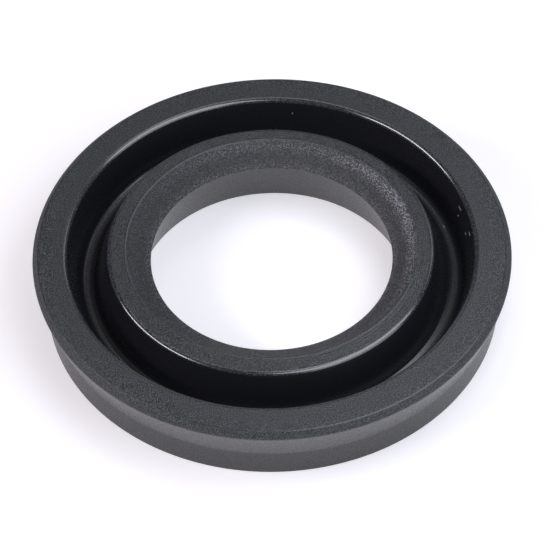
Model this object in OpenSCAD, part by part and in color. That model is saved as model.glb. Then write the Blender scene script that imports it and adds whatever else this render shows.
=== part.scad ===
// U-cup oil seal for a hydraulic rod: one black rubber moulding, round about Z.
// The heel stands on the XY plane, and the outer and inner lips open upwards round a deep groove.
// The origin is the centre of the heel's flat face. All sizes are in millimetres.

/* [Heel] */
// Outside diameter of the heel
heel_d = 50; // [40:0.5:80]
// Diameter of the bore where it meets the heel's flat face
heel_bore_d = 30.1; // [20:0.1:38]
// Height at which the heel's straight outside wall turns into the flared lip
heel_h = 3.25; // [1:0.05:6]
// Radius of the blend from the heel's outside wall into the flared lip
heel_blend_r = 2.5; // [0.5:0.1:6]
// Radius of the broken edges round the heel's flat face
heel_edge_r = 0.15; // [0.05:0.05:0.5]

/* [Outer lip] */
// Height of the seal, from the heel's flat face to the lands on the two lips
seal_h = 7.85; // [6.5:0.05:16]
// How far the rim of the outer lip stands out from the heel
outer_flare = 1.23; // [0.2:0.01:3]
// Width of the bevel between the rim and the outer land
rim_bevel_w = 0.65; // [0.2:0.05:1.5]
// Height of the bevel between the rim and the outer land
rim_bevel_h = 0.73; // [0.2:0.01:2]
// Radius of the edge between the rim bevel and the outer land
rim_edge_r = 0.2; // [0.05:0.05:0.4]
// Radius of the outer lip's edge at the groove
outer_edge_r = 0.4; // [0.1:0.05:1.5]

/* [Groove] */
// Width of the groove at its mouth, between the two lands carried on to a sharp corner
groove_w = 4.5; // [2.5:0.1:6.5]
// Depth of the groove below the lands
groove_depth = 4.7; // [2:0.1:6]
// Width of the groove's floor, between its walls carried on to a sharp corner
groove_floor_w = 1.5; // [0.8:0.1:4.4]
// Radius where the groove's walls turn into its floor
groove_floor_r = 0.9; // [0.2:0.1:1.4]
// How far the groove lies outside the middle of the heel's wall
groove_shift = 0.08; // [-0.5:0.02:0.5]
// How far the groove's floor lies outside the middle of the groove's mouth
floor_shift = 0.15; // [-0.5:0.05:0.5]

/* [Inner lip] */
// Width of the flat land on the inner lip, from the groove's mouth to the trimmed bevel
inner_land_w = 1.8; // [0.8:0.05:2.6]
// Radius of the inner lip's edge at the groove
inner_edge_r = 0.35; // [0.1:0.05:0.85]
// How far the sealing edge reaches into the bore, past the bore's wall at the heel
inner_flare = 1.8; // [0.2:0.05:3]
// Depth of the sealing edge below the lands, which the trimmed bevel runs down to
sealing_drop = 1.77; // [0.5:0.01:4]

/* [Hidden] */
rubber_colour = "#3a3b3f";

// Largest turn of one straight step along a rounded corner, in degrees
arc_step = 9;
// Turning steps of the round faces
round_fn = 240;

// Radii and heights of the section's corners
heel_r = heel_d / 2;
heel_bore_r = heel_bore_d / 2;
rim_r = heel_r + outer_flare;
rim_z = seal_h - rim_bevel_h;
groove_r = (heel_r + heel_bore_r) / 2 + groove_shift;
mouth_outer_r = groove_r + groove_w / 2;
mouth_inner_r = groove_r - groove_w / 2;
floor_r = groove_r + floor_shift;
floor_outer_r = floor_r + groove_floor_w / 2;
floor_inner_r = floor_r - groove_floor_w / 2;
floor_z = seal_h - groove_depth;
bevel_top_r = mouth_inner_r - inner_land_w;
sealing_r = heel_bore_r - inner_flare;
sealing_z = seal_h - sealing_drop;

// The half section, anticlockwise from the bore's foot: [radius, height, edge radius]
SECTION = [
    [heel_bore_r, 0, heel_edge_r],
    [heel_r, 0, heel_edge_r],
    [heel_r, heel_h, heel_blend_r],
    [rim_r, rim_z, 0],
    [rim_r - rim_bevel_w, seal_h, rim_edge_r],
    [mouth_outer_r, seal_h, outer_edge_r],
    [floor_outer_r, floor_z, groove_floor_r],
    [floor_inner_r, floor_z, groove_floor_r],
    [mouth_inner_r, seal_h, inner_edge_r],
    [bevel_top_r, seal_h, 0],
    [sealing_r, sealing_z, 0],
];

function unit(v) = v / norm(v);

// Place of corner number i, counted round the section
function corner(i) =
    let (c = SECTION[(i + len(SECTION)) % len(SECTION)])
    [c[0], c[1]];

// Points of corner number i, rounded by an arc that takes at most half of each side
function rounded(i) =
    let (
        here = corner(i),
        back = corner(i - 1) - here,
        ahead = corner(i + 1) - here,
        half_angle = acos(unit(back) * unit(ahead)) / 2,
        room = min(norm(back), norm(ahead)) / 2,
        setback = min(SECTION[i][2] / tan(half_angle), room),
        arc_r = setback * tan(half_angle),
        centre = here + unit(unit(back) + unit(ahead)) * arc_r / sin(half_angle),
        start = here + unit(back) * setback - centre,
        start_angle = atan2(start[1], start[0]),
        turn = (180 - 2 * half_angle) * sign(cross(-back, ahead)),
        steps = ceil(abs(turn) / arc_step)
    )
    [for (k = [0 : steps])
        let (a = start_angle + turn * k / steps)
        centre + arc_r * [cos(a), sin(a)]];

// Outline of the section: sharp corners as they are, the others as arcs
function outline() = [
    for (i = [0 : len(SECTION) - 1])
        for (p = SECTION[i][2] > 0 ? rounded(i) : [corner(i)])
            p
];

// The whole seal, the section turned once round the axis
module u_cup_seal() {
    color(rubber_colour)
        rotate_extrude($fn = round_fn)
            polygon(outline());
}

u_cup_seal();
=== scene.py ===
"""Rubber u-cup oil seal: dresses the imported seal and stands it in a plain, soft-lit studio."""
import logging
import math
from dataclasses import dataclass
from enum import Enum
from typing import NamedTuple

import bpy
import numpy as np
from mathutils import Matrix, Quaternion, Vector


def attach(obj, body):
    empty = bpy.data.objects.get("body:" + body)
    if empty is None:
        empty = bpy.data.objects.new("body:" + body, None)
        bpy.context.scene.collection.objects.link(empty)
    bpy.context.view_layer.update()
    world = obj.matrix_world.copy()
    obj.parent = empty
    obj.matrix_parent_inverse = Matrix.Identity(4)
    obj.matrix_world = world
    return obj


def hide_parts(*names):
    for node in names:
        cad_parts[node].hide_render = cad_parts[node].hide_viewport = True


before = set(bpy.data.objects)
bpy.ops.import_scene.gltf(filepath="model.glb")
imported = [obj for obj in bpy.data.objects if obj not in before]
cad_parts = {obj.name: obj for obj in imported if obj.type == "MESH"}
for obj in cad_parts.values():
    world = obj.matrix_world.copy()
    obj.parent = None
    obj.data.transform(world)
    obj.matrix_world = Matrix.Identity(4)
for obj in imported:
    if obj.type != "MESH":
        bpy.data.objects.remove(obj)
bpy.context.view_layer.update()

MM = 0.001
NODE = "u_cup_seal"
BODY = "root"
IMAGE_SIDE_PX = 550
SEED = 8133
RUBBER_IOR = 1.68
EDGE_COAT_ROUGHNESS = 0.13

# Sockets of a Mix node that blends colours, which have no names of their own
MIX_FIRST_COLOUR = 6
MIX_SECOND_COLOUR = 7
MIX_RESULT_COLOUR = 2

Colour = tuple[float, float, float]

log = logging.getLogger("oil_seal")


class Finish(Enum):
    """The two kinds of surface on the moulding; the value is the material's index on the mesh."""

    MOULDED = 0
    TRIMMED = 1


class Face(Enum):
    """The faces of the section, in order round it from the bore's foot."""

    HEEL_FACE = 0
    HEEL_WALL = 1
    UNDERCUT = 2
    RIM_BEVEL = 3
    OUTER_LAND = 4
    GROOVE_OUTER_WALL = 5
    GROOVE_FLOOR = 6
    GROOVE_INNER_WALL = 7
    INNER_LAND = 8
    TRIMMED_BEVEL = 9
    BORE_WALL = 10

    @property
    def finish(self) -> Finish:
        """The kind of surface that the face has."""
        return Finish.TRIMMED if self is Face.TRIMMED_BEVEL else Finish.MOULDED


class Surface(NamedTuple):
    """How a stretch of the section was left by the mould, and how much painted shade it carries: values that
    the materials read point by point.
    """

    rough: float
    grain: float
    # Painted shade: how far the colour is darkened towards a near-black shade colour.
    painted_shade: float = 0.0
    turned: float = 0.0
    gloss: float = 0.0

    def blend(self, other: "Surface", share: float) -> "Surface":
        """The surface that lies between this one (share 0) and another (share 1)."""
        return Surface(*(a + (b - a) * share for a, b in zip(self, other)))


class Corner(NamedTuple):
    """A corner of the section, in millimetres, and the face that runs on from it."""

    radius: float
    height: float
    edge_radius: float
    face: Face


class Row(NamedTuple):
    """One ring of points of the section: place and outward direction in the section's plane."""

    radius: float
    height: float
    out_r: float
    out_z: float
    face: Face
    share: float
    surface: Surface


MATTE = Surface(rough=0.40, grain=1.0)
SIDE_WALL = Surface(rough=0.28, grain=0.5, gloss=0.12)
# The heel and bore walls carry painted shade in their colour.
SHADED_WALL = Surface(rough=0.30, grain=0.8, painted_shade=0.65)
RIM = Surface(rough=0.72, grain=0.8)
# The rim's upper edge carries a thin line of painted shade.
RIM_EDGE = Surface(rough=0.36, grain=0.2, painted_shade=0.2)
TURNED_LAND = Surface(rough=0.33, grain=0.6, turned=1.0)
# The groove carries full painted shade: its dark colour stands in for the shade in the recess.
GROOVE = Surface(rough=0.27, grain=0.1, painted_shade=1.0)
# The groove's edges keep a little of the groove's painted shade.
OUTER_EDGE = Surface(rough=0.19, grain=0.0, painted_shade=0.2, gloss=0.7)
INNER_EDGE = Surface(rough=0.18, grain=0.0, painted_shade=0.1, gloss=0.7)
GROUND = Surface(rough=0.58, grain=1.0)
SURFACES: dict[Face, Surface] = {
    Face.HEEL_WALL: SHADED_WALL,
    Face.UNDERCUT: SIDE_WALL,
    Face.RIM_BEVEL: RIM,
    Face.BORE_WALL: SHADED_WALL,
    Face.GROOVE_OUTER_WALL: GROOVE,
    Face.GROOVE_FLOOR: GROOVE,
    Face.GROOVE_INNER_WALL: GROOVE,
    Face.INNER_LAND: TURNED_LAND,
    Face.TRIMMED_BEVEL: GROUND,
}
SMOOTH_EDGES: dict[Face, Surface] = {
    Face.OUTER_LAND: RIM_EDGE,
    Face.GROOVE_OUTER_WALL: OUTER_EDGE,
    Face.INNER_LAND: INNER_EDGE,
}
CORE_FACES = {Face.GROOVE_OUTER_WALL, Face.GROOVE_FLOOR, Face.GROOVE_INNER_WALL}

# Steps from one end of each face to the other; the trimmed bevel has the most, for its torn grain
FACE_ROWS: dict[Face, int] = {
    Face.HEEL_FACE: 8,
    Face.HEEL_WALL: 6,
    Face.UNDERCUT: 8,
    Face.RIM_BEVEL: 6,
    Face.OUTER_LAND: 14,
    Face.GROOVE_OUTER_WALL: 10,
    Face.GROOVE_FLOOR: 1,
    Face.GROOVE_INNER_WALL: 10,
    Face.INNER_LAND: 12,
    Face.TRIMMED_BEVEL: 36,
    Face.BORE_WALL: 14,
}


@dataclass
class SealSection:
    """Half section of the seal, in millimetres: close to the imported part's, with its edges as moulded."""

    heel_d: float = 50.0
    heel_bore_d: float = 30.1
    heel_h: float = 3.25
    heel_blend_r: float = 1.5
    heel_edge_r: float = 0.08
    seal_h: float = 7.85
    outer_flare: float = 1.27
    rim_bevel_w: float = 0.65
    rim_bevel_h: float = 0.73
    rim_edge_r: float = 0.25
    outer_edge_r: float = 0.6
    groove_w: float = 4.5
    groove_depth: float = 4.7
    groove_floor_w: float = 1.5
    groove_floor_r: float = 0.9
    groove_shift: float = 0.08
    floor_shift: float = 0.15
    inner_land_w: float = 1.8
    inner_edge_r: float = 0.5
    inner_flare: float = 1.8
    sealing_drop: float = 1.77
    sharp_edge_r: float = 0.04
    rim_low_r: float = 0.35
    outer_land_fall: float = 0.07
    arc_step_deg: float = 7.5
    edge_reach: float = 0.2

    @property
    def rim_r(self) -> float:
        """Radius of the outer lip's rim."""
        return self.heel_d / 2 + self.outer_flare

    @property
    def groove_r(self) -> float:
        """Radius of the middle of the groove."""
        return (self.heel_d + self.heel_bore_d) / 4 + self.groove_shift

    @property
    def bevel_top_r(self) -> float:
        """Radius of the crease between the inner land and the trimmed bevel."""
        return self.groove_r - self.groove_w / 2 - self.inner_land_w

    def corners(self) -> list[Corner]:
        """The corners of the section, anticlockwise from the bore's foot.

        Returns:
            One corner for each face, in the order of Face.
        """
        top = self.seal_h
        floor = top - self.groove_depth
        mouth = self.groove_w / 2
        foot = self.groove_floor_w / 2
        foot_r = self.groove_r + self.floor_shift
        heel_r = self.heel_d / 2
        bore_r = self.heel_bore_d / 2
        land_r = self.rim_r - self.rim_bevel_w
        land_z = top - self.outer_land_fall
        sealing_r = bore_r - self.inner_flare
        sealing_z = top - self.sealing_drop
        return [
            Corner(bore_r, 0, self.heel_edge_r, Face.HEEL_FACE),
            Corner(heel_r, 0, self.heel_edge_r, Face.HEEL_WALL),
            Corner(heel_r, self.heel_h, self.heel_blend_r, Face.UNDERCUT),
            Corner(self.rim_r, top - self.rim_bevel_h, self.rim_low_r, Face.RIM_BEVEL),
            Corner(land_r, land_z, self.rim_edge_r, Face.OUTER_LAND),
            Corner(self.groove_r + mouth, top, self.outer_edge_r, Face.GROOVE_OUTER_WALL),
            Corner(foot_r + foot, floor, self.groove_floor_r, Face.GROOVE_FLOOR),
            Corner(foot_r - foot, floor, self.groove_floor_r, Face.GROOVE_INNER_WALL),
            Corner(self.groove_r - mouth, top, self.inner_edge_r, Face.INNER_LAND),
            Corner(self.bevel_top_r, top, self.sharp_edge_r, Face.TRIMMED_BEVEL),
            Corner(sealing_r, sealing_z, self.sharp_edge_r, Face.BORE_WALL),
        ]

    def rows(self) -> list[Row]:
        """Samples the section into rings: arcs at the corners, even rows along the faces.

        Returns:
            The rings, anticlockwise from the bore's foot.
        """
        corners = self.corners()
        places = [np.array((c.radius, c.height)) for c in corners]
        arcs = [self._arc(places, i, corners[i].edge_radius) for i in range(len(corners))]
        rows: list[Row] = []
        for i, corner in enumerate(corners):
            before = corners[i - 1].face
            after = corner.face
            points, normals = arcs[i]
            for k, (p, n) in enumerate(zip(points, normals)):
                share = k / (len(points) - 1)
                face, along = (before, 1.0) if share < 0.5 else (after, 0.0)
                rows.append(Row(*p, *n, face, along, self._edge_surface(before, after, share)))
            start, normal = points[-1], normals[-1]
            end = arcs[(i + 1) % len(corners)][0][0]
            for k in range(1, FACE_ROWS[after]):
                share = k / FACE_ROWS[after]
                place = start + (end - start) * share
                rows.append(Row(*place, *normal, after, share, SURFACES.get(after, MATTE)))
        return rows

    def _edge_surface(self, before: Face, after: Face, share: float) -> Surface:
        """The surface part of the way round a rounded edge.

        Args:
            before: The face that the edge leaves.
            after: The face that the edge runs into.
            share: How far round the edge, from 0 to 1.

        Returns:
            The surface there; the rim's upper edge and the groove's two came out of the mould smooth, and
            carry some painted shade.
        """
        plain = SURFACES.get(before, MATTE).blend(SURFACES.get(after, MATTE), share)
        if after not in SMOOTH_EDGES:
            return plain
        smooth = min(1.0, share / self.edge_reach, (1.0 - share) / self.edge_reach)
        return plain.blend(SMOOTH_EDGES[after], smooth)

    def _arc(self, places: list[np.ndarray], i: int, radius: float) -> tuple[np.ndarray, np.ndarray]:
        """Rounds one corner of the section.

        Args:
            places: The corners' places.
            i: Number of the corner.
            radius: Radius of the rounded edge.

        Returns:
            The points of the arc and the section's outward direction at each.
        """
        here = places[i]
        back = places[i - 1] - here
        ahead = places[(i + 1) % len(places)] - here
        back_unit = back / np.linalg.norm(back)
        ahead_unit = ahead / np.linalg.norm(ahead)
        half = math.acos(float(back_unit @ ahead_unit)) / 2
        bisector = (back_unit + ahead_unit) / np.linalg.norm(back_unit + ahead_unit)
        centre = here + bisector * radius / math.sin(half)
        start = here + back_unit * radius / math.tan(half) - centre
        side = math.copysign(1.0, ahead[0] * back[1] - ahead[1] * back[0])
        turn = (math.pi - 2 * half) * side
        steps = max(2, math.ceil(math.degrees(abs(turn)) / self.arc_step_deg))
        angles = math.atan2(start[1], start[0]) + turn * np.arange(steps + 1) / steps
        spokes = np.stack([np.cos(angles), np.sin(angles)], axis=1)
        return centre + radius * spokes, spokes * side


class Patch(NamedTuple):
    """A stretch of the turn: its middle and spread in degrees, and its level."""

    turn_deg: float
    spread_deg: float
    level: float

    def at(self, turns: np.ndarray) -> np.ndarray:
        """The level at each turn, which falls off on both sides of the middle.

        Args:
            turns: The angles round the axis.

        Returns:
            One value for each angle.
        """
        away = np.abs((turns - math.radians(self.turn_deg) + math.pi) % math.tau - math.pi)
        return self.level * np.exp(-(away / math.radians(self.spread_deg)) ** 2)


class Band(NamedTuple):
    """A band across a face: its middle and spread as shares of the face's width, and its level."""

    share: float
    spread: float
    level: float

    def at(self, share: float) -> float:
        """The level at one place across the face."""
        return self.level * math.exp(-(((share - self.share) / self.spread) ** 2))


def hump(share: float) -> float:
    """A curve over a face: 1 at its middle and 0 at its two ends."""
    return 4.0 * share * (1.0 - share)


@dataclass
class MouldingRelief:
    """Small departures of the real moulding from the drawn section, in millimetres."""

    out_of_round: float = 0.015
    core_shift: tuple[float, float] = (-0.14, -0.05)
    lip_lean: float = 0.02
    trim_undersize: float = 0.02
    land_dip: float = 0.02
    land_roll: float = 0.02
    crease_height: float = 0.045
    crease_width: float = 0.07
    trim_shift: tuple[float, float] = (-0.06, 0.22)
    lip_shift: tuple[float, float] = (-0.04, 0.07)
    level_start: float = 0.3
    # Painted glints: stretches of the turn where the bevel is paler, most at turn 26, where the light glints
    # on it.
    glint_patches: tuple[Patch, ...] = (Patch(26.0, 40.0, 0.90), Patch(105.0, 32.0, 0.25))
    torn_least: float = 0.04
    torn_top: Band = Band(0.22, 0.20, 1.0)
    torn_foot: Band = Band(0.95, 0.16, 0.20)
    # The crease's painted highlight is strongest towards this turn.
    crease_turn_deg: float = 150.0
    crease_least: float = 0.03
    crease_most: float = 0.80
    crease_band: Band = Band(0.0, 0.03, 1.0)
    trim_line_depth: float = 0.008
    trim_line_least: float = 0.4
    trim_grain: float = 0.006
    first_wave: int = 2
    wave_count: int = 5

    def moves(self, rows: list[Row], turns: np.ndarray, section: SealSection) -> tuple[np.ndarray, ...]:
        """Works out how far each point moves out of the surface, towards the axis and down.

        Args:
            rows: The rings of the section.
            turns: The angles round the axis.
            section: The section's sizes.

        Returns:
            Moves along the surface's outward direction, moves towards the axis and moves down.
        """
        rng = np.random.default_rng(SEED)
        out = np.zeros((len(rows), len(turns)))
        inward = np.zeros_like(out)
        drop = np.zeros_like(out)
        front = np.maximum(-np.sin(turns), 0.0)
        back = np.maximum(np.sin(turns), 0.0)
        oval = self._waves(turns, rng)
        dip = self._waves(turns, rng)
        core = self._sideways(self.core_shift, turns)
        trim = self._sideways(self.trim_shift, turns) - self.trim_undersize
        lip = self._sideways(self.lip_shift, turns)
        for j, row in enumerate(rows):
            lift = (row.height - section.heel_h) / (section.seal_h - section.heel_h)
            lift = min(max(lift, 0.0), 1.0)
            level = min(max((row.out_z - self.level_start) / (1.0 - self.level_start), 0.0), 1.0)
            gap = (row.radius - section.bevel_top_r) / self.crease_width
            beside = self.crease_height * (1.0 - math.exp(-gap * gap))
            inward[j] = self.out_of_round * lift * oval
            inward[j] -= core * self._core_share(row)
            if row.face in (Face.OUTER_LAND, Face.INNER_LAND):
                drop[j] += self.land_dip * dip * hump(row.share)
            if row.face in (Face.GROOVE_INNER_WALL, Face.INNER_LAND):
                across = row.share if row.face is Face.INNER_LAND else 0.0
                inward[j] += self.lip_lean * lift * lift - trim * across
                drop[j] += level * (beside + self.land_roll * ((1.0 - across) * front + across * back))
            if row.face is Face.BORE_WALL:
                inward[j] -= lip * (1.0 - row.share)
            if row.face is Face.TRIMMED_BEVEL:
                inward[j] += (self.lip_lean - trim) * (1.0 - row.share) - lip * row.share
                drop[j] += (1.0 - row.share) * (beside + self.land_roll * back)
                if 0.0 < row.share < 1.0:
                    line = rng.normal() * self.trim_line_depth
                    wave = self._waves(turns, rng)
                    out[j] += line * (self.trim_line_least + (1.0 - self.trim_line_least) * wave)
                    out[j] += rng.normal(size=len(turns)) * self.trim_grain
        return out, inward, drop

    def _sideways(self, shift: tuple[float, float], turns: np.ndarray) -> np.ndarray:
        """How far a shift of a ring to one side moves each point of it out from the axis."""
        return shift[0] * np.cos(turns) + shift[1] * np.sin(turns)

    def _core_share(self, row: Row) -> float:
        """Tells how far a ring follows the mould's core, which lies a little off the axis.

        Args:
            row: The ring.

        Returns:
            A share: 1 in the groove, less across the lands beside it, and 0 elsewhere.
        """
        if row.face is Face.OUTER_LAND:
            return row.share
        if row.face is Face.INNER_LAND:
            return 1.0 - row.share
        return 1.0 if row.face in CORE_FACES else 0.0

    def torn_and_glints(self, rows: list[Row], turns: np.ndarray) -> np.ndarray:
        """Works out how roughly the grinding tore the bevel, with painted glints added where the light
        catches it, from 0 to 1.

        Args:
            rows: The rings of the section.
            turns: The angles round the axis.

        Returns:
            One value for each point: most below the crease and on the stretches with painted glints, some at
                the sealing edge, none off the bevel.
        """
        marks = np.zeros((len(rows), len(turns)))
        side = self.torn_least + sum(patch.at(turns) for patch in self.glint_patches)
        for j, row in enumerate(rows):
            if row.face is Face.TRIMMED_BEVEL:
                marks[j] = self.torn_top.at(row.share) * side + self.torn_foot.at(row.share)
        return marks

    def crease(self, rows: list[Row], turns: np.ndarray) -> np.ndarray:
        """Works out the painted highlight along the crease at the bevel's top, from 0 to 1.

        Args:
            rows: The rings of the section.
            turns: The angles round the axis.

        Returns:
            One value for each point: a thin line of painted highlight that is clearest on one side and none
                off the bevel.
        """
        marks = np.zeros((len(rows), len(turns)))
        towards = np.maximum(np.cos(turns - math.radians(self.crease_turn_deg)), 0.0)
        side = self.crease_least + self.crease_most * towards
        for j, row in enumerate(rows):
            if row.face is Face.TRIMMED_BEVEL:
                marks[j] = side * self.crease_band.at(row.share)
        return marks

    def _waves(self, turns: np.ndarray, rng: np.random.Generator) -> np.ndarray:
        """Makes a smooth wave round the ring that closes on itself.

        Args:
            turns: The angles round the axis.
            rng: The source of the waves' places.

        Returns:
            One value for each angle, from 0 to 1.
        """
        wave = np.zeros_like(turns)
        for count in range(self.first_wave, self.first_wave + self.wave_count):
            wave += np.cos(count * turns + rng.uniform(0, math.tau)) / count
        low, high = wave.min(), wave.max()
        return (wave - low) / (high - low)


@dataclass(frozen=True)
class RubberFinish:
    """Look of the moulded rubber: matte grain on the lands, painted shade in the groove and on the heel and
    bore walls, glossier smooth edges.
    """

    colour: Colour = (0.074, 0.080, 0.092)
    dark_colour: Colour = (0.0012, 0.0016, 0.0036)
    # The near-black colour that painted shade darkens towards.
    painted_shade_colour: Colour = (0.0092, 0.0095, 0.0128)
    grain_per_mm: float = 7.8
    grain_depth_mm: float = 0.07
    line_per_mm: float = 7.0
    line_depth_mm: float = 0.06
    rough_spread: float = 0.10


@dataclass(frozen=True)
class TrimmedFinish:
    """Look of the bevel that was ground on the inner lip: coarse, with sparkling grain where it tore,
    painted glints where the light catches it, and a painted highlight along its crease.
    """

    colour: Colour = (0.070, 0.070, 0.086)
    dark_colour: Colour = (0.001, 0.001, 0.0015)
    # Paler where the grinding tore the bevel, and paler still where glints are painted on it.
    torn_and_glint_colour: Colour = (0.36, 0.34, 0.39)
    torn_and_glint_dark_colour: Colour = (0.012, 0.012, 0.015)
    # The colour of the painted highlight along the crease.
    crease_highlight_colour: Colour = (0.160, 0.168, 0.190)
    grain_per_mm: float = 6.6
    grain_depth_mm: float = 0.20
    line_per_mm: float = 5.0
    line_depth_mm: float = 0.05
    rough_spread: float = 0.3


@dataclass(frozen=True)
class CrumbFinish:
    """Look of the small crumbs: paler than the rubber round them, a painted highlight for the glints on
    these small bumps.
    """

    # Painted highlight: pale so that the small bumps show their glints.
    colour: Colour = (0.17, 0.17, 0.20)
    roughness: float = 0.3


class NodeSheet:
    """A node tree with short calls to add and join nodes."""

    def __init__(self, tree: bpy.types.NodeTree) -> None:
        """Takes the tree and empties it."""
        self.tree = tree
        tree.nodes.clear()

    def add(self, kind: str, **settings: object) -> bpy.types.Node:
        """Adds a node.

        Args:
            kind: Blender's name of the node's type.
            **settings: Attributes of the node, such as operation.

        Returns:
            The new node.
        """
        node = self.tree.nodes.new(kind)
        for name, value in settings.items():
            setattr(node, name, value)
        return node

    def join(self, output: bpy.types.NodeSocket, target: bpy.types.NodeSocket) -> None:
        """Links an output to an input."""
        self.tree.links.new(output, target)

    def math(self, operation: str, first: object, second: object = None) -> bpy.types.NodeSocket:
        """Adds a Math node.

        Args:
            operation: The operation's name.
            first: A socket or a number.
            second: A socket or a number, or nothing.

        Returns:
            The node's output.
        """
        node = self.add("ShaderNodeMath", operation=operation)
        for slot, value in zip(node.inputs, (first, second)):
            if isinstance(value, bpy.types.NodeSocket):
                self.join(value, slot)
            elif value is not None:
                slot.default_value = value
        return node.outputs[0]

    def mix_colour(self, share: bpy.types.NodeSocket, first: object, second: object) -> bpy.types.NodeSocket:
        """Blends two colours.

        Args:
            share: How much of the second colour, from 0 to 1.
            first: The first colour, plain or a socket.
            second: The second colour, plain or a socket.

        Returns:
            The blended colour.
        """
        node = self.add("ShaderNodeMix", data_type="RGBA")
        self.join(share, node.inputs["Factor"])
        for colour, number in ((first, MIX_FIRST_COLOUR), (second, MIX_SECOND_COLOUR)):
            slot = node.inputs[number]
            if isinstance(colour, bpy.types.NodeSocket):
                self.join(colour, slot)
            else:
                slot.default_value = (*colour, 1.0)
        return node.outputs[MIX_RESULT_COLOUR]


class GroupSocket(NamedTuple):
    """One input or output of a shader node group."""

    name: str
    is_input: bool
    kind: str
    default: float = 0.0


def new_group(name: str, sockets: list[GroupSocket]) -> bpy.types.NodeTree:
    """Makes an empty shader node group with named sockets.

    Args:
        name: The group's name.
        sockets: Its inputs and outputs.

    Returns:
        The group.
    """
    group = bpy.data.node_groups.new(name, "ShaderNodeTree")
    for socket in sockets:
        side = "INPUT" if socket.is_input else "OUTPUT"
        made = group.interface.new_socket(socket.name, in_out=side, socket_type=socket.kind)
        if socket.is_input and socket.kind == "NodeSocketFloat":
            made.default_value = socket.default
    return group


@dataclass
class RubberEffects:
    """Shader node groups that the seal's materials share."""

    noise_detail: float = 2.0
    speckle_dark: float = 0.46
    speckle_light: float = 0.63
    line_wander: float = 4.0

    def __post_init__(self) -> None:
        """Builds the groups once."""
        self.grain = self._grain()
        self.lines = self._lines()

    def _grain(self) -> bpy.types.NodeTree:
        """Makes a fine mould grain: a speckle of light and dark, and its height.

        Returns:
            The group.
        """
        group = new_group("Mould grain", [
            GroupSocket("Grains per mm", True, "NodeSocketFloat", 7.0),
            GroupSocket("Speckle", False, "NodeSocketFloat"),
            GroupSocket("Height", False, "NodeSocketFloat"),
        ])
        sheet = NodeSheet(group)
        inlet = sheet.add("NodeGroupInput")
        outlet = sheet.add("NodeGroupOutput")
        place = sheet.add("ShaderNodeTexCoord")
        per_metre = sheet.math("DIVIDE", inlet.outputs["Grains per mm"], MM)
        noise = sheet.add("ShaderNodeTexNoise")
        noise.inputs["Detail"].default_value = self.noise_detail
        sheet.join(place.outputs["Object"], noise.inputs["Vector"])
        sheet.join(per_metre, noise.inputs["Scale"])
        contrast = sheet.add("ShaderNodeMapRange")
        contrast.inputs["From Min"].default_value = self.speckle_dark
        contrast.inputs["From Max"].default_value = self.speckle_light
        sheet.join(noise.outputs["Fac"], contrast.inputs["Value"])
        sheet.join(contrast.outputs["Result"], outlet.inputs["Speckle"])
        sheet.join(noise.outputs["Fac"], outlet.inputs["Height"])
        return group

    def _lines(self) -> bpy.types.NodeTree:
        """Makes fine lines that run round the axis, as a tool or a turned mould leaves them.

        Returns:
            The group.
        """
        group = new_group("Turned lines", [
            GroupSocket("Lines per mm", True, "NodeSocketFloat", 5.0),
            GroupSocket("Height", False, "NodeSocketFloat"),
        ])
        sheet = NodeSheet(group)
        inlet = sheet.add("NodeGroupInput")
        outlet = sheet.add("NodeGroupOutput")
        place = sheet.add("ShaderNodeTexCoord")
        axes = sheet.add("ShaderNodeSeparateXYZ")
        sheet.join(place.outputs["Object"], axes.inputs[0])
        radius = sheet.math("POWER", sheet.math(
            "ADD",
            sheet.math("MULTIPLY", axes.outputs["X"], axes.outputs["X"]),
            sheet.math("MULTIPLY", axes.outputs["Y"], axes.outputs["Y"]),
        ), 0.5)
        turn = sheet.math("ARCTAN2", axes.outputs["Y"], axes.outputs["X"])
        along = sheet.math("MULTIPLY", radius, sheet.math("DIVIDE", inlet.outputs["Lines per mm"], MM))
        vector = sheet.add("ShaderNodeCombineXYZ")
        sheet.join(along, vector.inputs["X"])
        for wave, axis in (("COSINE", "Y"), ("SINE", "Z")):
            wander = sheet.math("MULTIPLY", sheet.math(wave, turn), self.line_wander)
            sheet.join(wander, vector.inputs[axis])
        noise = sheet.add("ShaderNodeTexNoise")
        noise.inputs["Scale"].default_value = 1.0
        noise.inputs["Detail"].default_value = self.noise_detail
        sheet.join(vector.outputs[0], noise.inputs["Vector"])
        sheet.join(noise.outputs["Fac"], outlet.inputs["Height"])
        return group


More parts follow.
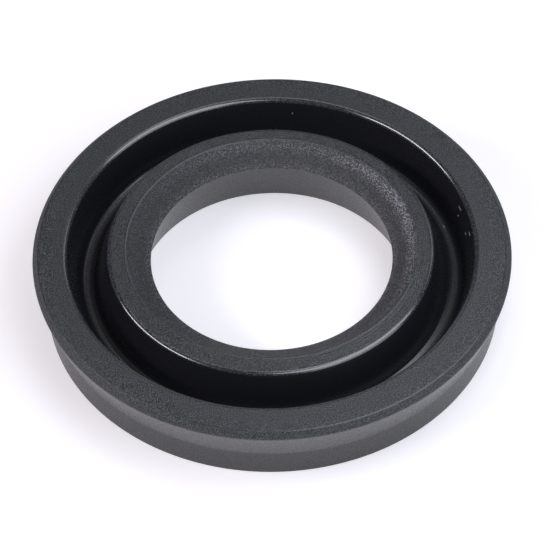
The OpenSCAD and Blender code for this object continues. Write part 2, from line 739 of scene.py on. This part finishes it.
class RubberMaterials:
    """The seal's materials, made from its finishes and the shared effects."""

    def __init__(self, moulded: RubberFinish, trimmed: TrimmedFinish, crumb: CrumbFinish) -> None:
        """Builds the shared effects and the three materials.

        Args:
            moulded: The finish of the moulded faces.
            trimmed: The finish of the trimmed bevel.
            crumb: The finish of the crumbs.
        """
        self.effects = RubberEffects()
        self.moulded = self._moulded(moulded)
        self.trimmed = self._trimmed(trimmed)
        self.crumb = self._crumb(crumb)

    def _start(self, name: str) -> tuple[bpy.types.Material, NodeSheet, bpy.types.Node]:
        """Makes a material with one shader.

        Args:
            name: The material's name.

        Returns:
            The material, its node sheet and its Principled shader.
        """
        material = bpy.data.materials.new(name)
        material.use_nodes = True
        sheet = NodeSheet(material.node_tree)
        shader = sheet.add("ShaderNodeBsdfPrincipled")
        shader.inputs["IOR"].default_value = RUBBER_IOR
        outlet = sheet.add("ShaderNodeOutputMaterial")
        sheet.join(shader.outputs["BSDF"], outlet.inputs["Surface"])
        return material, sheet, shader

    def _mark(self, sheet: NodeSheet, name: str) -> bpy.types.NodeSocket:
        """Reads one of the section's surface values at the shaded point."""
        return sheet.add("ShaderNodeAttribute", attribute_name=name).outputs["Fac"]

    def _grain(
        self, sheet: NodeSheet, shader: bpy.types.Node, finish: RubberFinish | TrimmedFinish
    ) -> bpy.types.Node:
        """Adds the grain and the turned lines, and joins them to roughness and normal.

        Args:
            sheet: The material's node sheet.
            shader: Its Principled shader.
            finish: The finish's values.

        Returns:
            The grain's group node, for its speckle.
        """
        grain = sheet.add("ShaderNodeGroup", node_tree=self.effects.grain)
        grain.inputs["Grains per mm"].default_value = finish.grain_per_mm
        lines = sheet.add("ShaderNodeGroup", node_tree=self.effects.lines)
        lines.inputs["Lines per mm"].default_value = finish.line_per_mm
        either_way = sheet.math("SUBTRACT", grain.outputs["Speckle"], 0.5)
        spread = sheet.math("MULTIPLY", either_way, finish.rough_spread)
        coarse = self._mark(sheet, "grain")
        sheet.join(
            sheet.math("ADD", self._mark(sheet, "rough"), sheet.math("MULTIPLY", spread, coarse)),
            shader.inputs["Roughness"],
        )
        bumps = sheet.math("MULTIPLY", grain.outputs["Height"], coarse)
        bumps = sheet.math("MULTIPLY", bumps, finish.grain_depth_mm)
        turned = sheet.math("MULTIPLY", lines.outputs["Height"], self._mark(sheet, "turned"))
        height = sheet.math("ADD", bumps, sheet.math("MULTIPLY", turned, finish.line_depth_mm))
        bump = sheet.add("ShaderNodeBump")
        bump.inputs["Distance"].default_value = MM
        bump.inputs["Strength"].default_value = 1.0
        sheet.join(height, bump.inputs["Height"])
        sheet.join(bump.outputs["Normal"], shader.inputs["Normal"])
        return grain

    def _moulded(self, finish: RubberFinish) -> bpy.types.Material:
        """Matte rubber with a fine mould grain, darkened by painted shade where its mark is set.

        Args:
            finish: The finish's values.

        Returns:
            The material.
        """
        material, sheet, shader = self._start("moulded_rubber")
        grain = self._grain(sheet, shader, finish)
        speckled = sheet.mix_colour(grain.outputs["Speckle"], finish.dark_colour, finish.colour)
        # Painted shade: darkens the colour in the groove, on the heel and bore walls and along the rim's
        # upper edge.
        shaded = sheet.mix_colour(self._mark(sheet, "painted_shade"), speckled, finish.painted_shade_colour)
        sheet.join(shaded, shader.inputs["Base Color"])
        sheet.join(self._mark(sheet, "gloss"), shader.inputs["Coat Weight"])
        shader.inputs["Coat Roughness"].default_value = EDGE_COAT_ROUGHNESS
        shader.inputs["Coat IOR"].default_value = RUBBER_IOR
        return material

    def _trimmed(self, finish: TrimmedFinish) -> bpy.types.Material:
        """Ground rubber: coarse grain, paler where the grinding tore it and where glints are painted, with a
        painted highlight along the crease.

        Args:
            finish: The finish's values.

        Returns:
            The material.
        """
        material, sheet, shader = self._start("trimmed_rubber")
        grain = self._grain(sheet, shader, finish)
        # Torn grain, with painted glints on some stretches of the turn.
        torn_and_glints = self._mark(sheet, "torn_and_glints")
        light = sheet.mix_colour(torn_and_glints, finish.colour, finish.torn_and_glint_colour)
        dark = sheet.mix_colour(torn_and_glints, finish.dark_colour, finish.torn_and_glint_dark_colour)
        speckled = sheet.mix_colour(grain.outputs["Speckle"], dark, light)
        # Painted highlight along the crease.
        highlighted = sheet.mix_colour(self._mark(sheet, "crease"), speckled, finish.crease_highlight_colour)
        sheet.join(highlighted, shader.inputs["Base Color"])
        return material

    def _crumb(self, finish: CrumbFinish) -> bpy.types.Material:
        """Pale rubber for the crumbs: a painted highlight for their glints.

        Args:
            finish: The finish's values.

        Returns:
            The material.
        """
        material, _, shader = self._start("crumb_rubber")
        shader.inputs["Base Color"].default_value = (*finish.colour, 1.0)
        shader.inputs["Roughness"].default_value = finish.roughness
        return material


@dataclass
class UCupSeal:
    """The seal: one rubber moulding, turned about Z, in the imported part's frame."""

    section: SealSection
    relief: MouldingRelief
    turn_steps: int = 400

    def build(self) -> bpy.types.Object:
        """Turns the section round the axis into one closed mesh.

        Returns:
            The seal's object, in metres.
        """
        rows = self.section.rows()
        turns = np.arange(self.turn_steps) * math.tau / self.turn_steps
        out, inward, drop = self.relief.moves(rows, turns, self.section)
        radius = np.array([[r.radius] for r in rows]) + out * np.array([[r.out_r] for r in rows]) - inward
        height = np.array([[r.height] for r in rows]) + out * np.array([[r.out_z] for r in rows]) - drop
        points = np.stack([radius * np.cos(turns), radius * np.sin(turns), height], axis=-1) * MM
        count, steps = len(rows), self.turn_steps
        here, ahead = np.arange(count), np.roll(np.arange(count), -1)
        quads = [
            (a * steps + k, a * steps + (k + 1) % steps, b * steps + (k + 1) % steps, b * steps + k)
            for a, b in zip(here, ahead) for k in range(steps)
        ]
        mesh = bpy.data.meshes.new("u_cup_seal_rubber")
        mesh.from_pydata(points.reshape(-1, 3).tolist(), [], quads)
        between = [rows[b] if rows[a].share == 1.0 else rows[a] for a, b in zip(here, ahead)]
        finishes = [row.face.finish for row in between]
        mesh.polygons.foreach_set("material_index", np.repeat([f.value for f in finishes], steps))
        mesh.polygons.foreach_set("use_smooth", np.ones(len(quads), dtype=bool))
        marks = {
            name: np.repeat([[getattr(row.surface, name)] for row in rows], steps, axis=1)
            for name in Surface._fields
        }
        # Torn grain with painted glints, and a painted highlight along the crease.
        marks["torn_and_glints"] = self.relief.torn_and_glints(rows, turns)
        marks["crease"] = self.relief.crease(rows, turns)
        for name, values in marks.items():
            mark = mesh.attributes.new(name, "FLOAT", "POINT")
            mark.data.foreach_set("value", values.astype(np.float32).ravel())
        mesh.validate()
        mesh.update()
        seal = bpy.data.objects.new("u_cup_seal_rubber", mesh)
        bpy.context.scene.collection.objects.link(seal)
        log.info("seal: %d rings of %d points", count, steps)
        return seal

    def dress(self, seal: bpy.types.Object, materials: RubberMaterials) -> None:
        """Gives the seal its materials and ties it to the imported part.

        Args:
            seal: The seal's object.
            materials: The seal's materials.
        """
        by_finish = {Finish.MOULDED: materials.moulded, Finish.TRIMMED: materials.trimmed}
        for finish in Finish:
            seal.data.materials.append(by_finish[finish])
        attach(seal, BODY)
        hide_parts(NODE)


class Speck(NamedTuple):
    """A small raised crumb left on the moulding: its place and half sizes, in millimetres and degrees."""

    turn_deg: float
    radius: float
    height: float
    slope_deg: float
    half_along: float
    half_across: float


@dataclass
class MouldSpecks:
    """Crumbs of rubber that stuck to the groove's walls, the lands and the trimmed edge."""

    # Turn, radius, height, slope, half length along the turn and half width across it
    specks: tuple[Speck, ...] = (
        Speck(16.4, 21.82, 6.58, 74, 0.42, 0.06),
        Speck(15.8, 21.56, 5.67, 74, 0.13, 0.10),
        Speck(5.8, 21.88, 6.75, 74, 0.36, 0.06),
        Speck(8.0, 21.62, 5.87, 74, 0.16, 0.10),
        Speck(18.7, 20.36, 3.17, 0, 0.22, 0.12),
        Speck(82.9, 21.72, 6.28, 74, 0.09, 0.08),
        Speck(180.5, 24.84, 7.78, 0, 0.10, 0.08),
        Speck(133.5, 13.28, 6.10, -32, 0.14, 0.06),
        Speck(116.5, 13.49, 6.23, -32, 0.08, 0.07),
    )
    thickness: float = 0.06
    sides: int = 12
    bands: int = 6
    pole_gap: float = 0.02

    def build(self) -> bpy.types.Object:
        """Makes the crumbs as small flattened beads in one mesh.

        Returns:
            The crumbs' object, in metres.
        """
        points: list[Vector] = []
        quads: list[tuple[int, int, int, int]] = []
        for speck in self.specks:
            first = len(points)
            points += self._bead(speck)
            for band in range(self.bands):
                for side in range(self.sides):
                    near, far = side, (side + 1) % self.sides
                    low, high = first + band * self.sides, first + (band + 1) * self.sides
                    quads.append((low + near, low + far, high + far, high + near))
        mesh = bpy.data.meshes.new("mould_specks")
        mesh.from_pydata([tuple(p * MM) for p in points], [], quads)
        mesh.polygons.foreach_set("use_smooth", np.ones(len(mesh.polygons), dtype=bool))
        specks = bpy.data.objects.new("mould_specks", mesh)
        bpy.context.scene.collection.objects.link(specks)
        log.info("specks: %d", len(self.specks))
        return specks

    def _bead(self, speck: Speck) -> list[Vector]:
        """Points of one flattened bead, band by band.

        Args:
            speck: The bead's place and half sizes.

        Returns:
            The points, in millimetres.
        """
        turn, slope = math.radians(speck.turn_deg), math.radians(speck.slope_deg)
        spoke = Vector((math.cos(turn), math.sin(turn), 0.0))
        along = Vector((-math.sin(turn), math.cos(turn), 0.0))
        up = Vector((0.0, 0.0, 1.0))
        out = up * math.cos(slope) - spoke * math.sin(slope)
        across = along.cross(out)
        centre = spoke * speck.radius + up * speck.height
        points = []
        for band in range(self.bands + 1):
            polar = self.pole_gap + (math.pi - 2 * self.pole_gap) * band / self.bands
            for side in range(self.sides):
                angle = math.tau * side / self.sides
                points.append(
                    centre
                    + along * (speck.half_along * math.sin(polar) * math.cos(angle))
                    + across * (speck.half_across * math.sin(polar) * math.sin(angle))
                    + out * (self.thickness * math.cos(polar))
                )
        return points

    def dress(self, specks: bpy.types.Object, materials: RubberMaterials) -> None:
        """Gives the crumbs their material and ties them to the part.

        Args:
            specks: The crumbs' object.
            materials: The seal's materials.
        """
        specks.data.materials.append(materials.crumb)
        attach(specks, BODY)


@dataclass(frozen=True)
class Softbox:
    """A soft lamp: a glowing panel that faces the seal, placed by its direction, in millimetres."""

    name: str
    azimuth_deg: float
    elevation_deg: float
    distance: float
    width: float
    height: float
    radiance: float
    colour: Colour = (1.0, 1.0, 1.0)
    roll_deg: float = 0.0

    def hang(self) -> bpy.types.Object:
        """Makes the lamp.

        Returns:
            The lamp's object.
        """
        data = bpy.data.lights.new(self.name, "AREA")
        data.shape = "RECTANGLE"
        data.size = self.width * MM
        data.size_y = self.height * MM
        data.energy = self.radiance * math.pi * data.size * data.size_y
        data.color = self.colour
        azimuth, elevation = math.radians(self.azimuth_deg), math.radians(self.elevation_deg)
        level = math.cos(elevation)
        place = Vector((math.cos(azimuth) * level, math.sin(azimuth) * level, math.sin(elevation)))
        lamp = bpy.data.objects.new(self.name, data)
        lamp.location = place * self.distance * MM
        facing = (-place).to_track_quat("-Z", "Y")
        lamp.rotation_euler = (facing @ Quaternion((0.0, 0.0, 1.0), math.radians(self.roll_deg))).to_euler()
        bpy.context.scene.collection.objects.link(lamp)
        return lamp


@dataclass
class Studio:
    """Plain pale floor, soft lamps and a white surround."""

    floor_side: float = 4000.0
    floor_drop: float = 0.01
    floor_colour: Colour = (0.85, 0.81, 0.84)
    glow_colour: Colour = (0.98, 0.96, 1.0)
    floor_glow: float = 0.38
    mirrored_share: float = 0.76
    surround: float = 0.11
    surround_colour: Colour = (0.97, 0.98, 1.0)
    # Name, azimuth, elevation, distance, width, height, radiance, colour and roll
    lamps: tuple[Softbox, ...] = (
        Softbox("left_strip", 189, 33.5, 500, 404, 75, 12.0, (1.0, 0.96, 0.99), 25.0),
        Softbox("left_bank", 195, 40, 550, 380, 300, 0.9, (0.92, 0.94, 1.0)),
        Softbox("right_top", 335, 62, 118, 125, 80, 2.75, (0.85, 0.93, 1.0)),
        Softbox("right_low", 322, 24, 550, 600, 320, 1.3, (0.91, 0.94, 1.0)),
        Softbox("back_low", 95, 24, 550, 360, 200, 0.32, (0.95, 0.95, 1.0)),
        Softbox("back_right", 52, 36, 550, 230, 180, 0.80, (0.95, 0.95, 1.0)),
        Softbox("back_top", 84, 68, 400, 200, 130, 1.8, (0.97, 0.95, 1.0)),
    )

    def build(self) -> None:
        """Makes the floor, the lamps and the surround."""
        self._floor()
        for lamp in self.lamps:
            lamp.hang()
            log.info("lamp: %s", lamp.name)
        self._surround()

    def _floor(self) -> None:
        """A pale floor that takes the shadow, glows white in pictures and is clear from beneath."""
        half = self.floor_side * MM / 2
        mesh = bpy.data.meshes.new("floor")
        level = -self.floor_drop * MM
        corners = [(x * half, y * half, level) for x, y in ((-1, -1), (1, -1), (1, 1), (-1, 1))]
        mesh.from_pydata(corners, [], [(0, 1, 2, 3)])
        floor = bpy.data.objects.new("floor", mesh)
        bpy.context.scene.collection.objects.link(floor)
        material = bpy.data.materials.new("pale_floor")
        material.use_nodes = True
        sheet = NodeSheet(material.node_tree)
        outlet = sheet.add("ShaderNodeOutputMaterial")
        matte = sheet.add("ShaderNodeBsdfDiffuse")
        matte.inputs["Color"].default_value = (*self.floor_colour, 1.0)
        glow = sheet.add("ShaderNodeEmission")
        glow.inputs["Color"].default_value = (*self.glow_colour, 1.0)
        path = sheet.add("ShaderNodeLightPath")
        mirrored = sheet.math("MULTIPLY", path.outputs["Is Glossy Ray"], self.mirrored_share)
        seen = sheet.math("MAXIMUM", path.outputs["Is Camera Ray"], mirrored)
        seen = sheet.math("MAXIMUM", seen, path.outputs["Is Transmission Ray"])
        sheet.join(sheet.math("MULTIPLY", seen, self.floor_glow), glow.inputs["Strength"])
        both = sheet.add("ShaderNodeAddShader")
        sheet.join(matte.outputs[0], both.inputs[0])
        sheet.join(glow.outputs[0], both.inputs[1])
        side = sheet.add("ShaderNodeNewGeometry")
        beneath = sheet.math("MULTIPLY", side.outputs["Backfacing"], path.outputs["Is Camera Ray"])
        clear = sheet.add("ShaderNodeBsdfTransparent")
        either = sheet.add("ShaderNodeMixShader")
        sheet.join(beneath, either.inputs["Fac"])
        sheet.join(both.outputs[0], either.inputs[1])
        sheet.join(clear.outputs[0], either.inputs[2])
        sheet.join(either.outputs[0], outlet.inputs["Surface"])
        mesh.materials.append(material)

    def _surround(self) -> None:
        """A soft white surround, full white to the camera."""
        world = bpy.data.worlds.new("surround")
        world.use_nodes = True
        bpy.context.scene.world = world
        sheet = NodeSheet(world.node_tree)
        outlet = sheet.add("ShaderNodeOutputWorld")
        soft = sheet.add("ShaderNodeBackground")
        soft.inputs["Color"].default_value = (*self.surround_colour, 1.0)
        soft.inputs["Strength"].default_value = self.surround
        white = sheet.add("ShaderNodeBackground")
        white.inputs["Color"].default_value = (1.0, 1.0, 1.0, 1.0)
        path = sheet.add("ShaderNodeLightPath")
        either = sheet.add("ShaderNodeMixShader")
        sheet.join(path.outputs["Is Camera Ray"], either.inputs["Fac"])
        sheet.join(soft.outputs[0], either.inputs[1])
        sheet.join(white.outputs[0], either.inputs[2])
        sheet.join(either.outputs[0], outlet.inputs["Surface"])


@dataclass
class PhotoCamera:
    """Camera at the photograph's angle, in millimetres and degrees."""

    elevation_deg: float = 49.385
    distance: float = 363.57
    aim: tuple[float, float, float] = (0.285, 2.69, 0.0)
    roll_deg: float = -1.214
    focal_px: float = 3272.2
    sensor_mm: float = 36.0

    def place(self) -> bpy.types.Object:
        """Makes the camera and sets it as the scene's.

        Returns:
            The camera's object.
        """
        data = bpy.data.cameras.new("photo_camera")
        data.sensor_fit = "HORIZONTAL"
        data.sensor_width = self.sensor_mm
        data.lens = self.focal_px * self.sensor_mm / IMAGE_SIDE_PX
        camera = bpy.data.objects.new("photo_camera", data)
        elevation = math.radians(self.elevation_deg)
        eye = Vector((0.0, -math.cos(elevation), math.sin(elevation))) * self.distance * MM
        view = (Vector(self.aim) * MM - eye).normalized()
        right = view.cross(Vector((0.0, 0.0, 1.0))).normalized()
        up = right.cross(view)
        turn = Matrix.Rotation(math.radians(self.roll_deg), 3, -view)
        axes = Matrix((turn @ right, turn @ up, -view)).transposed()
        camera.matrix_world = Matrix.Translation(eye) @ axes.to_4x4()
        bpy.context.scene.collection.objects.link(camera)
        bpy.context.scene.camera = camera
        return camera


def main() -> None:
    """Builds the camera, the studio and the seal, in that order."""
    logging.basicConfig(level=logging.INFO, format="%(name)s: %(message)s")
    bpy.context.scene.view_settings.view_transform = "Standard"
    PhotoCamera().place()
    Studio().build()
    seal = UCupSeal(SealSection(), MouldingRelief())
    rubber = seal.build()
    materials = RubberMaterials(RubberFinish(), TrimmedFinish(), CrumbFinish())
    seal.dress(rubber, materials)
    log.info("dressed: %s", rubber.name)
    specks = MouldSpecks()
    crumbs = specks.build()
    specks.dress(crumbs, materials)
    log.info("dressed: %s", crumbs.name)


if __name__ == "__main__":
    main()
